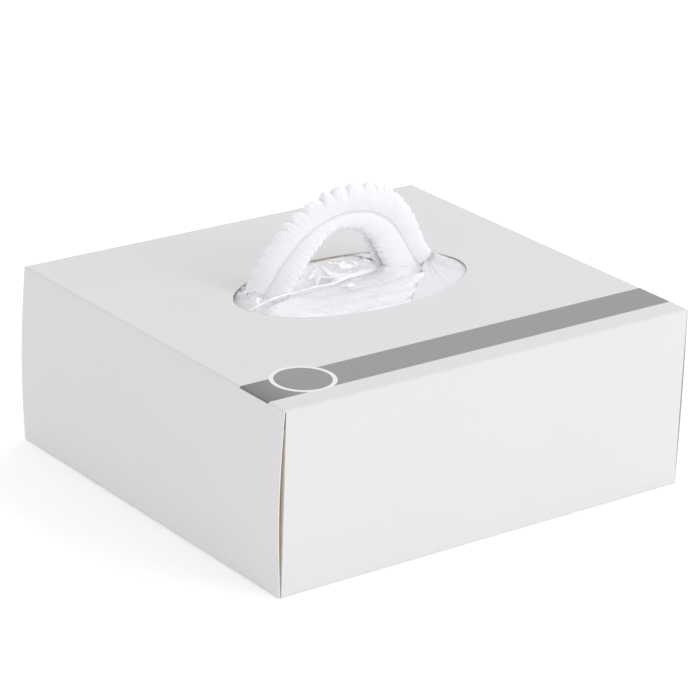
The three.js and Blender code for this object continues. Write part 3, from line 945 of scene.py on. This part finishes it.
def quarter(radius, steps=6):
    """Angles of a rounded fold from flat to a right angle, as (run, drop) of its outer skin."""
    turn = np.linspace(0, math.pi / 2, steps + 1)
    return radius * np.sin(turn), radius * (1 - np.cos(turn))


SHARP_ANGLE = math.radians(32)


def join_parts(name, parts, materials, smooth=True):
    points, faces, kinds = [], [], []
    start = 0
    for part_points, part_faces, part_kinds in parts:
        points.append(part_points)
        faces += [[k + start for k in face] for face in part_faces]
        kinds += part_kinds
        start += len(part_points)
    piece = new_piece(name, np.concatenate(points), faces, materials, kinds, smooth)
    piece.data.set_sharp_from_angle(angle=SHARP_ANGLE)
    return piece


TEETH_PITCH = 2.4
TEETH_DEPTH = 0.34
SLEEVE_END = 129.4
LIP_RADIUS = 0.8
LIP_X = 129.3


def opening_outline(count=560):
    """The torn edge of the opening, with small teeth."""
    angles = np.linspace(0, 2 * math.pi, count, endpoint=False)
    a, b = OPENING_HALF
    around = angles * (a + b) / 2
    knots = random_phase(around, TEETH_PITCH, 91)
    teeth = crest(around, knots, 92, 0.8, 0.7)
    inset = TEETH_DEPTH * teeth + 0.12 * noise(around / 0.9, 0.0, 93)
    inset[-2:] = inset[:1]
    x = OPENING_CENTRE[0] + (a - inset) * np.cos(angles)
    y = OPENING_CENTRE[1] + (b - inset) * np.sin(angles)
    return np.stack([x, y], -1)


def top_board():
    """The flat of the top panel, with its opening."""
    half_x = CARTON_X - FOLD_RADIUS
    half_y = CARTON_Y - FOLD_RADIUS
    side_x = np.linspace(-half_x, half_x, 41)
    side_y = np.linspace(-half_y, half_y, 37)
    border = (
        [(x, -half_y) for x in side_x[:-1]]
        + [(half_x, y) for y in side_y[:-1]]
        + [(x, half_y) for x in side_x[:0:-1]]
        + [(-half_x, y) for y in side_y[:0:-1]]
    )
    hole = opening_outline()
    flat = [Vector(p) for p in border] + [Vector(p) for p in hole]
    b, h = len(border), len(hole)
    edges = [(k, (k + 1) % b) for k in range(b)] + [(b + k, b + (k + 1) % h) for k in range(h)]
    rings = []
    for grow in (1.02, 1.06, 1.14, 1.28):
        for k in range(0, h, max(1, round(h / (96 / grow)))):
            x, y = hole[k]
            cx, cy = OPENING_CENTRE
            rings.append(Vector((cx + (x - cx) * grow, cy + (y - cy) * grow)))
    result = delaunay_2d_cdt(flat + rings, edges, [], 0, 1e-6)
    points, triangles = result[0], result[2]
    keep = []
    cx, cy = OPENING_CENTRE
    for triangle in triangles:
        mx = sum(points[k].x for k in triangle) / len(triangle)
        my = sum(points[k].y for k in triangle) / len(triangle)
        inside = ((mx - cx) / (OPENING_HALF[0] - 0.5)) ** 2 + ((my - cy) / (OPENING_HALF[1] - 0.5)) ** 2 < 1
        if not inside:
            keep.append(list(triangle))
    flat_points = np.array([(p.x, p.y) for p in points])
    size = len(flat_points)
    top = np.column_stack([flat_points, np.full(size, CARTON_Z)])
    bottom = np.column_stack([flat_points, np.full(size, CARTON_Z - BOARD)])
    faces, kinds = [], []
    uses = {}
    for triangle in keep:
        a, b2, c = (flat_points[k] for k in triangle)
        cross = (b2[0] - a[0]) * (c[1] - a[1]) - (b2[1] - a[1]) * (c[0] - a[0])
        triangle = triangle if cross > 0 else triangle[::-1]
        faces.append(triangle)
        kinds.append(0)
        faces.append([k + size for k in triangle[::-1]])
        kinds.append(2)
        for k in range(3):
            edge = (triangle[k], triangle[(k + 1) % 3])
            uses[edge] = uses.get(edge, 0) + 1
    for a, b2 in uses:
        if (b2, a) not in uses:
            faces.append([a, a + size, b2 + size, b2])
            kinds.append(3)
    return np.concatenate([top, bottom]), faces, kinds


def wrap_grid(side):
    """The outer skin from the top's fold down the front or back panel and under the bottom.
    side is -1 for the front, at -Y, and 1 for the back."""
    run, drop = quarter(FOLD_RADIUS)
    flat_y = CARTON_Y - FOLD_RADIUS
    path = [(flat_y + r, CARTON_Z - d) for r, d in zip(run, drop)]
    down = np.linspace(CARTON_Z - FOLD_RADIUS, FOLD_RADIUS, 12)[1:]
    path += [(CARTON_Y, z) for z in down]
    path += [(flat_y + r, d) for r, d in zip(run[::-1][1:], drop[::-1][1:])]
    path += [(y, 0.0) for y in np.linspace(flat_y, 0.15, 8)[1:]]
    xs = np.linspace(-SLEEVE_END, SLEEVE_END, 30)
    path = np.array(path)
    grid = np.zeros((len(xs), len(path), 3))
    grid[..., 0] = xs[:, None]
    grid[..., 1] = side * path[None, :, 0]
    grid[..., 2] = path[None, :, 1]
    return grid[::-1] if side < 0 else grid


def carton_sleeve(materials):
    parts = [top_board()]
    for side in (-1, 1):
        parts.append(board_slab(wrap_grid(side), BOARD))
    return join_parts("carton_sleeve", parts, materials)


def lip_grid(side, end):
    """The rounded upright fold at one end of the front or back panel."""
    run, drop = quarter(LIP_RADIUS, 5)
    zs = np.linspace(FOLD_RADIUS + 0.4, CARTON_Z - FOLD_RADIUS - 0.4, 10)
    grid = np.zeros((len(run), len(zs), 3))
    grid[..., 0] = end * (LIP_X - LIP_RADIUS + run[:, None])
    grid[..., 1] = side * (CARTON_Y - drop[:, None])
    grid[..., 2] = zs[None]
    return grid if side * end < 0 else grid[::-1]


FLAP_FOOT = 1.0
FLAP_TAB_FOOT = 0.25
FLAP_TAB = 12.0
FLAP_BULGE = 3.4
FLAP_EDGE_BULGE = {-1: 1.9, 1: 0.6}


def flap_grid(end):
    """The outer skin of an end flap, from the fold at the top down to its free edge."""
    half_y = CARTON_Y - 0.35
    low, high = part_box("end_flap_left")
    foot, head = low.z / MM, high.z / MM
    inner_y = half_y - 2 * FLAP_TAB
    middle = np.linspace(-inner_y, inner_y, 14)[1:-1]
    ys = np.concatenate([np.linspace(-half_y, -inner_y, 9), middle, np.linspace(inner_y, half_y, 9)])
    run, drop = quarter(FOLD_RADIUS)
    flat_x = CARTON_X - FOLD_RADIUS
    below_fold = CARTON_Z - FOLD_RADIUS
    levels = np.linspace(below_fold, 0, 26)[1:]
    grid = np.zeros((len(ys), len(run) + len(levels), 3))
    edge = np.abs(ys) / half_y
    bulge = FLAP_EDGE_BULGE[end] + (FLAP_BULGE - FLAP_EDGE_BULGE[end]) * (1 - edge**2)
    tab = smooth_step((half_y - np.abs(ys) - FLAP_TAB + 1) / 2)
    lowest = FLAP_TAB_FOOT + (FLAP_FOOT - FLAP_TAB_FOOT) * tab
    for i, y in enumerate(ys):
        down = lowest[i] + levels / below_fold * (below_fold - lowest[i])
        z = np.concatenate([CARTON_Z - drop, down])
        part = np.clip((z - foot) / (head - foot), 0, 1)
        x = np.concatenate([flat_x + run, np.full(len(levels), CARTON_X)])
        x = x + bulge[i] * np.sin(math.pi * part) * (z < CARTON_Z - FOLD_RADIUS / 2)
        grid[i, :, 0] = end * x
        grid[i, :, 1] = y
        grid[i, :, 2] = z
    return grid[::-1] if end > 0 else grid


# Materials


def node_material(name):
    material = bpy.data.materials.new(name)
    material.use_nodes = True
    tree = material.node_tree
    shader = tree.nodes["Principled BSDF"]
    return material, tree, shader


def add_node(tree, kind, inputs=None, **settings):
    node = tree.nodes.new(kind)
    for key, value in settings.items():
        setattr(node, key, value)
    for key, value in (inputs or {}).items():
        if isinstance(value, bpy.types.NodeSocket):
            tree.links.new(value, node.inputs[key])
        else:
            node.inputs[key].default_value = value
    return node


def maths(tree, operation, a, b=0.0, c=0.0, clamp=False):
    node = add_node(tree, "ShaderNodeMath", {0: a, 1: b, 2: c}, operation=operation, use_clamp=clamp)
    return node.outputs[0]


def mix_colour(tree, share, a, b):
    node = tree.nodes.new("ShaderNodeMix")
    node.data_type = "RGBA"
    for key, value in ((0, share), (6, a), (7, b)):
        if isinstance(value, bpy.types.NodeSocket):
            tree.links.new(value, node.inputs[key])
        else:
            node.inputs[key].default_value = value
    return node.outputs[2]


def between(tree, value, low, high, soft):
    """1 where value lies between low and high, with a soft edge."""
    rise = maths(tree, "MULTIPLY_ADD", value, 1 / soft, 0.5 - low / soft, clamp=True)
    fall = maths(tree, "MULTIPLY_ADD", value, -1 / soft, 0.5 + high / soft, clamp=True)
    return maths(tree, "MULTIPLY", rise, fall)


def object_noise(tree, scale, detail=2.0, stretch=(1, 1, 1)):
    place = add_node(tree, "ShaderNodeTexCoord").outputs["Object"]
    mapping = add_node(tree, "ShaderNodeMapping", {"Vector": place, "Scale": stretch})
    texture = add_node(
        tree, "ShaderNodeTexNoise", {"Vector": mapping.outputs[0], "Scale": scale, "Detail": detail}
    )
    return texture.outputs["Fac"]


def add_bump(tree, shader, height, distance, strength=1.0, below=None):
    inputs = {"Height": height, "Distance": distance, "Strength": strength}
    if below is not None:
        inputs["Normal"] = below
    bump = add_node(tree, "ShaderNodeBump", inputs)
    tree.links.new(bump.outputs[0], shader.inputs["Normal"])
    return bump.outputs[0]


STRIPE_FRONT = -105.3 * MM
STRIPE_BACK = -81.2 * MM
BADGE_CENTRE = (-98.5 * MM, -90.0 * MM)
BADGE_DISC = 14.7 * MM
BADGE_RING = 17.0 * MM
BOARD_WHITE = (0.70, 0.70, 0.70, 1)
RING_WHITE = (0.84, 0.84, 0.84, 1)
STRIPE_GREY = (0.298, 0.298, 0.298, 1)
STRIPE_DARK = (0.18, 0.18, 0.18, 1)
STRIPE_FADE = (-132 * MM, -107 * MM)


def coated_board():
    """Clay-coated folding board, with a plain stripe and a ringed disc printed on the top."""
    material, tree, shader = node_material("coated_board")
    place = add_node(tree, "ShaderNodeTexCoord").outputs["Object"]
    x, y, z = add_node(tree, "ShaderNodeSeparateXYZ", {0: place}).outputs
    soft = 0.12 * MM
    on_top = maths(tree, "GREATER_THAN", z, (CARTON_Z - FOLD_RADIUS * 0.75) * MM)
    stripe = between(tree, y, STRIPE_FRONT, STRIPE_BACK, soft)
    dx = maths(tree, "SUBTRACT", x, BADGE_CENTRE[0])
    dy = maths(tree, "SUBTRACT", y, BADGE_CENTRE[1])
    square = maths(tree, "ADD", maths(tree, "MULTIPLY", dx, dx), maths(tree, "MULTIPLY", dy, dy))
    radius = maths(tree, "SQRT", square)
    disc = between(tree, radius, -1.0, BADGE_DISC, soft)
    ring = between(tree, radius, BADGE_DISC, BADGE_RING, soft)
    beyond = between(tree, radius, BADGE_RING, 10.0, soft)
    grey = maths(tree, "ADD", maths(tree, "MULTIPLY", stripe, beyond), disc, clamp=True)
    grey = maths(tree, "MULTIPLY", grey, on_top)
    white = maths(tree, "MULTIPLY", ring, on_top)

    mottle = object_noise(tree, 900.0, 3.0)
    cloudy = object_noise(tree, 28.0, 2.0)
    tone = maths(tree, "MULTIPLY_ADD", mottle, 0.05, 0.0)
    tone = maths(tree, "MULTIPLY_ADD", cloudy, 0.03, tone)
    paler = (BOARD_WHITE[0] * 1.03,) * 3 + (1,)
    darker = (BOARD_WHITE[0] * 0.97,) * 3 + (1,)
    board = mix_colour(tree, maths(tree, "MULTIPLY", tone, 12.0, clamp=True), darker, paler)
    # The stripe darkens towards the top's left edge.
    fade_size = STRIPE_FADE[1] - STRIPE_FADE[0]
    fade = maths(tree, "MULTIPLY_ADD", x, 1 / fade_size, -STRIPE_FADE[0] / fade_size, clamp=True)
    printed = mix_colour(tree, grey, board, mix_colour(tree, fade, STRIPE_DARK, STRIPE_GREY))
    printed = mix_colour(tree, maths(tree, "MULTIPLY", white, 0.8), printed, RING_WHITE)
    tree.links.new(printed, shader.inputs["Base Color"])
    rough = maths(tree, "MULTIPLY_ADD", mottle, 0.12, 0.52)
    tree.links.new(rough, shader.inputs["Roughness"])
    shader.inputs["Specular IOR Level"].default_value = 0.25
    wave = object_noise(tree, 14.0, 1.0)
    low = add_node(tree, "ShaderNodeBump", {"Height": wave, "Distance": 0.0006, "Strength": 0.25}).outputs[0]
    add_bump(tree, shader, mottle, 0.00003, 0.5, low)
    return material


def board_edge(name, colour, deep):
    """A cut edge of the board, fibrous, between two colours."""
    material, tree, shader = node_material(name)
    fibres = object_noise(tree, 700.0, 4.0, (1, 1, 3))
    patches = object_noise(tree, 90.0, 2.0)
    share = maths(tree, "MULTIPLY_ADD", fibres, 1.1, -0.2)
    share = maths(tree, "MULTIPLY", share, patches, clamp=True)
    tree.links.new(mix_colour(tree, share, colour, deep), shader.inputs["Base Color"])
    shader.inputs["Roughness"].default_value = 0.9
    add_bump(tree, shader, fibres, 0.0001, 0.7)
    return material


def raw_board():
    """The uncoated back of the board, with flecks of its fibres, in colours paler than raw board: painted
    light for the shaded gap beside the end flaps.
    """
    material, tree, shader = node_material("raw_board")
    fibres = object_noise(tree, 420.0, 5.0, (1, 4, 1))
    flecks = object_noise(tree, 1500.0, 2.0)
    share = maths(tree, "MULTIPLY_ADD", fibres, 1.4, -0.2, clamp=True)
    pale = mix_colour(tree, share, (0.62, 0.56, 0.49, 1), (0.83, 0.76, 0.68, 1))
    fleck = maths(tree, "GREATER_THAN", flecks, 0.68)
    colour = mix_colour(tree, maths(tree, "MULTIPLY", fleck, 0.5), pale, (0.34, 0.30, 0.25, 1))
    tree.links.new(colour, shader.inputs["Base Color"])
    shader.inputs["Roughness"].default_value = 0.95
    add_bump(tree, shader, fibres, 0.00012, 0.6)
    return material


# The cloth's colour, and its darker colour along the fine creases: painted shade of the pleats.
NONWOVEN_WHITE = (0.92, 0.922, 0.945, 1)
NONWOVEN_SHADE = (0.83, 0.835, 0.86, 1)


# Brown of the painted shade under the opening's rim.
RIM_SHADE_BROWN = (0.78, 0.64, 0.48, 1)


def rim_painted_shade(tree):
    """Painted brown shade on the contents by the opening's back and left edge, in blotches: the shadow under
    the board's edge, tinted by light bounced off the board's raw underside."""
    place = add_node(tree, "ShaderNodeTexCoord").outputs["Object"]
    x, y, _ = add_node(tree, "ShaderNodeSeparateXYZ", {0: place}).outputs
    half_x, half_y = OPENING_HALF
    u = maths(tree, "MULTIPLY_ADD", x, 1 / (half_x * MM), -OPENING_CENTRE[0] / half_x)
    v = maths(tree, "MULTIPLY_ADD", y, 1 / (half_y * MM), -OPENING_CENTRE[1] / half_y)
    square = maths(tree, "ADD", maths(tree, "MULTIPLY", u, u), maths(tree, "MULTIPLY", v, v))
    near = maths(tree, "MULTIPLY_ADD", square, 3.4, -2.5, clamp=True)
    behind = maths(tree, "SUBTRACT", v, maths(tree, "MULTIPLY", u, 0.9))
    behind = maths(tree, "MULTIPLY_ADD", behind, 1.6, 0.1, clamp=True)
    blotches = maths(tree, "MULTIPLY_ADD", object_noise(tree, 160.0, 3.0), 3.2, -1.1, clamp=True)
    share = maths(tree, "MULTIPLY", maths(tree, "MULTIPLY", near, behind), blotches)
    return maths(tree, "MULTIPLY", share, 0.9)


def nonwoven(name, by_strip, share=1.0):
    """Soft spunbond cloth, darker along its fine creases: painted shade of the pleats. by_strip draws its
    fine creases along the strip's own directions, and share makes the whole cloth lighter or darker, for lit
    and shaded copies of it: painted light and shade."""
    material, tree, shader = node_material(name)
    if by_strip:
        along = add_node(tree, "ShaderNodeAttribute", attribute_name="along_mm").outputs["Fac"]
        across = add_node(tree, "ShaderNodeAttribute", attribute_name="across_mm").outputs["Fac"]
        flat = add_node(
            tree,
            "ShaderNodeCombineXYZ",
            {0: along, 1: maths(tree, "MULTIPLY", across, 0.16), 2: 0.0},
        ).outputs[0]
        inputs = {"Vector": flat, "Scale": 1.9, "Detail": 3.0}
        creases = add_node(tree, "ShaderNodeTexNoise", inputs).outputs["Fac"]
    else:
        creases = object_noise(tree, 1500.0, 3.0, (1, 0.16, 0.3))
    fibres = object_noise(tree, 3800.0, 3.0)
    place = add_node(tree, "ShaderNodeTexCoord").outputs["Object"]
    inputs = {"Vector": place, "Scale": 1300.0, "Randomness": 0.35}
    bonds = add_node(tree, "ShaderNodeTexVoronoi", inputs).outputs["Distance"]
    dots = maths(tree, "MULTIPLY_ADD", bonds, -4.0, 1.2, clamp=True)
    # Darker along the fine creases: painted shade of the pleats.
    crease_shade = maths(tree, "MULTIPLY_ADD", creases, 1.6, -0.35, clamp=True)
    shade = tuple(share * part for part in NONWOVEN_SHADE[:3]) + (1,)
    white = tuple(share * part for part in NONWOVEN_WHITE[:3]) + (1,)
    colour = mix_colour(tree, crease_shade, shade, white)
    if not by_strip:
        # Painted brown shade by the opening's rim.
        colour = mix_colour(tree, rim_painted_shade(tree), colour, RIM_SHADE_BROWN)
    tree.links.new(colour, shader.inputs["Base Color"])
    shader.inputs["Roughness"].default_value = 0.88
    shader.inputs["Specular IOR Level"].default_value = 0.25
    shader.inputs["Subsurface Weight"].default_value = 0.3
    shader.inputs["Subsurface Radius"].default_value = (1.0, 1.0, 1.0)
    shader.inputs["Subsurface Scale"].default_value = 0.0006
    shader.inputs["Sheen Weight"].default_value = 0.15
    shader.inputs["Sheen Roughness"].default_value = 0.5
    inputs = {"Height": creases, "Distance": 0.00016, "Strength": 0.6}
    first = add_node(tree, "ShaderNodeBump", inputs).outputs[0]
    inputs = {"Height": dots, "Distance": 0.00004, "Strength": 0.5, "Normal": first}
    second = add_node(tree, "ShaderNodeBump", inputs).outputs[0]
    add_bump(tree, shader, fibres, 0.00006, 0.5, second)
    return material


def elastic_thread():
    material, tree, shader = node_material("elastic_thread")
    ribs = object_noise(tree, 2600.0, 2.0)
    colour = mix_colour(tree, ribs, (0.84, 0.85, 0.86, 1), (0.93, 0.935, 0.94, 1))
    tree.links.new(colour, shader.inputs["Base Color"])
    shader.inputs["Roughness"].default_value = 0.8
    add_bump(tree, shader, ribs, 0.00008, 0.6)
    return material


def clear_film():
    """Thin clear film: mostly see-through, with a strong gloss."""
    material, tree, shader = node_material("clear_film")
    shader.inputs["Base Color"].default_value = (0.95, 0.955, 0.965, 1)
    shader.inputs["Roughness"].default_value = 0.08
    shader.inputs["Specular IOR Level"].default_value = 1.0
    shader.inputs["IOR"].default_value = 1.9
    shader.inputs["Coat Weight"].default_value = 1.0
    shader.inputs["Coat Roughness"].default_value = 0.05
    shader.inputs["Alpha"].default_value = 0.22
    crinkle = object_noise(tree, 240.0, 2.0)
    add_bump(tree, shader, crinkle, 0.00025, 0.35)
    return material


def painted_film_glints():
    """Opaque white for the ribbons on the film: painted highlights of its glints, where the clear film
    reflects the light.
    """
    material, tree, shader = node_material("painted_film_glints")
    shader.inputs["Base Color"].default_value = (0.985, 0.987, 0.99, 1)
    shader.inputs["Roughness"].default_value = 0.3
    shader.inputs["Specular IOR Level"].default_value = 0.5
    shader.inputs["Alpha"].default_value = 0.95
    crinkle = object_noise(tree, 500.0, 2.0)
    add_bump(tree, shader, crinkle, 0.0001, 0.3)
    return material


# Camera, light and floor

CAMERA_PLACE = Vector((-1004.98, -1308.72, 715.31)) * MM
CAMERA_LENS = 171.36


def add_camera():
    data = bpy.data.cameras.new("camera")
    data.lens = CAMERA_LENS
    data.sensor_width = 36.0
    data.clip_start = 0.05
    data.clip_end = 50.0
    forward = Vector((0.56618, 0.73807, -0.36700)).normalized()
    up = Vector((0.19530, 0.31245, 0.92964)).normalized()
    right = forward.cross(up).normalized()
    up = right.cross(forward)
    turn = Matrix((right, up, -forward)).transposed().to_4x4()
    camera = bpy.data.objects.new("camera", data)
    camera.matrix_world = Matrix.Translation(CAMERA_PLACE) @ turn
    bpy.context.scene.collection.objects.link(camera)
    bpy.context.scene.camera = camera


def add_area(name, place, target, size, power, colour=(1, 1, 1)):
    data = bpy.data.lights.new(name, "AREA")
    data.shape = "RECTANGLE"
    data.size, data.size_y = size
    data.energy = power
    data.color = colour
    light = bpy.data.objects.new(name, data)
    direction = Vector(target) - Vector(place)
    light.matrix_world = Matrix.Translation(place) @ direction.to_track_quat("-Z", "Y").to_matrix().to_4x4()
    bpy.context.scene.collection.objects.link(light)


GLINT_LIGHTS = [
    # name, place, power
    ("glint_front", (1.3, -0.85, 1.75), 1.6),
    ("glint_over", (1.0, 0.55, 2.05), 1.4),
    ("glint_back", (1.15, 1.1, 1.6), 0.35),
]


def add_studio():
    world = bpy.data.worlds.new("studio")
    world.use_nodes = True
    background = world.node_tree.nodes["Background"]
    background.inputs["Color"].default_value = (0.985, 0.985, 1.0, 1)
    background.inputs["Strength"].default_value = 0.86
    bpy.context.scene.world = world
    target = (0, 0, 0.06)
    add_area("key", (1.9, -3.06, 1.72), target, (2.4, 2.0), 37)
    add_area("left_fill", (-2.8, -0.3, 0.9), target, (1.6, 1.4), 1.8, (0.80, 0.82, 1.0))
    add_area("overhead", (1.05, 0.80, 1.95), target, (0.6, 0.5), 4)
    for name, place, power in GLINT_LIGHTS:
        add_area(name, place, target, (0.12, 0.12), power)
    bpy.context.scene.view_settings.view_transform = "Standard"
    bpy.context.scene.view_settings.look = "None"
    bpy.context.scene.view_settings.exposure = 0.0


def add_floor():
    material, tree, shader = node_material("studio_floor")
    soft = object_noise(tree, 3.0, 2.0)
    colour = mix_colour(tree, soft, (0.93, 0.93, 0.93, 1), (0.95, 0.95, 0.95, 1))
    tree.links.new(colour, shader.inputs["Base Color"])
    shader.inputs["Roughness"].default_value = 0.7
    shader.inputs["Emission Color"].default_value = (1, 1, 1, 1)
    shader.inputs["Emission Strength"].default_value = 0.2
    size = 9000.0
    corners = [(-size, -size, -0.05), (size, -size, -0.05), (size, size, -0.05), (-size, size, -0.05)]
    floor = new_piece("studio_floor", corners, [[0, 1, 2, 3]], [material], smooth=False)


def main():
    add_camera()
    # The packed cloth is a lighter copy of the nonwoven, painted light against the film's shadow; the drawn
    # cloth at the right foot is a darker copy, painted shade.
    cloth = nonwoven("nonwoven_strip", True, 1.02)
    packed_cloth = nonwoven("nonwoven_packed_painted_light", False, 1.03)
    drawn_cloth_painted_shade = nonwoven("nonwoven_drawn_painted_shade", False, 0.87)
    board = coated_board()
    cream = board_edge("board_edge", (0.80, 0.785, 0.74, 1), (0.62, 0.56, 0.47, 1))
    raw = raw_board()
    torn = board_edge("torn_edge", (0.78, 0.74, 0.67, 1), (0.50, 0.41, 0.30, 1))

    crown, crown_points = cap_crown(cloth)
    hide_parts("cap_crown")
    elastic = cap_elastic(elastic_thread())
    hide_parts("cap_elastic")

    heights = StripHeights(crown_points)
    fill = packed_fill(packed_cloth, heights)
    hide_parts("packed_fill")
    drawn = [
        drawn_sheet(sheet, cloth_of_sheet, heights)
        for sheet, cloth_of_sheet in zip(DRAWN_SHEETS, (drawn_cloth_painted_shade, packed_cloth))
    ]
    for piece in drawn:
        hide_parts("packed_fill")
    film, film_grid = inner_film(clear_film(), heights)
    # The white ribbons on the film are painted highlights of its glints.
    folds = film_glint_ribbons(painted_film_glints(), film_grid)
    for piece in (film, folds):
        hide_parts("inner_bag_film")

    sleeve = carton_sleeve([board, cream, raw, torn])
    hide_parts("carton_top_panel", "carton_bottom_panel", "carton_front_panel", "carton_back_panel")
    lips = join_parts(
        "carton_side_lips",
        [board_slab(lip_grid(side, end), BOARD) for side in (-1, 1) for end in (-1, 1)],
        [board, cream, raw],
    )
    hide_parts("carton_front_panel", "carton_back_panel")
    pieces = [crown, elastic, fill, *drawn, film, folds, sleeve, lips]
    for name, end in (("left", -1), ("right", 1)):
        flap = join_parts(f"end_flap_{name}_bowed", [board_slab(flap_grid(end), BOARD)], [board, cream, raw])
        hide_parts(f"end_flap_{name}")
        pieces.append(flap)
    for piece in pieces:
        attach(piece, "root")
    # The hidden inner and dust flaps, whose outer faces are coated white, take the raw board: painted brown
    # shade in the narrow gap beside the end flaps.
    for name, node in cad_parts.items():
        if name.startswith(("inner_flap", "dust_flap")):
            node.data.materials.clear()
            node.data.materials.append(raw)

    add_studio()
    add_floor()


main()
